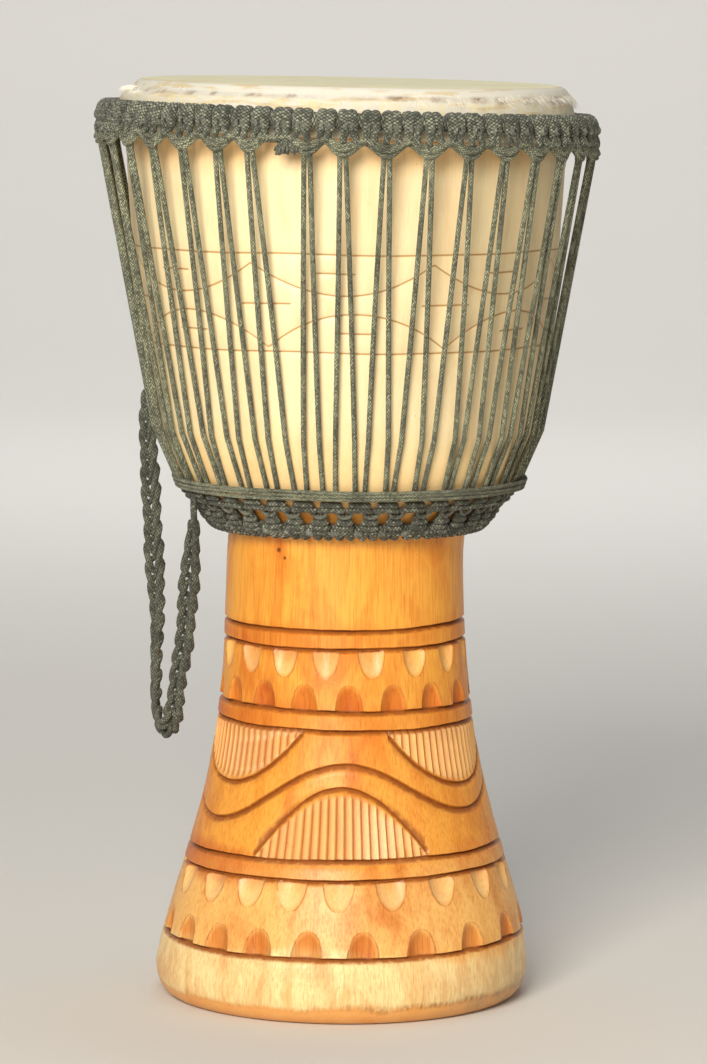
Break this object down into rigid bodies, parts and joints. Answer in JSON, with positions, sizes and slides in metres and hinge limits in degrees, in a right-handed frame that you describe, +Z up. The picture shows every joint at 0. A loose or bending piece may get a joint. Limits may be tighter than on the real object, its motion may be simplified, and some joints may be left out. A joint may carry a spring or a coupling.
{
  "type": "djembe goblet drum",
  "caption": "Goblet-shaped wooden hand drum with a carved stem, a goatskin head, knotted rope rings, rope lacing down the bowl and a plaited carrying strap.",
  "frame": {"origin": "on the floor under the middle of the foot, on the shell's axis", "axes": "+Z up along the shell's axis, -Y towards the viewer of the picture, +X to that viewer's right"},
  "size_m": [0.3352, 0.3352, 0.6091],
  "materials": {
    "oiled_hardwood": "satin varnish, amber on the stem and pale cream on the bowl",
    "goatskin": "matte rawhide, cream, with white hair left on the collar",
    "black_rope": "braided polyester rope, black faded to grey-green"
  },
  "bodies": {
    "root": {"shell": "oiled_hardwood", "goatskin_head": "goatskin", "crown_ring": "black_rope", "cradle_rope": "black_rope", "tension_rope": "black_rope", "end_knot": "black_rope", "bottom_wraps": "black_rope", "bottom_loops": "black_rope", "bottom_knots": "black_rope", "carrying_strap": "black_rope"}
  },
  "joints": []
}
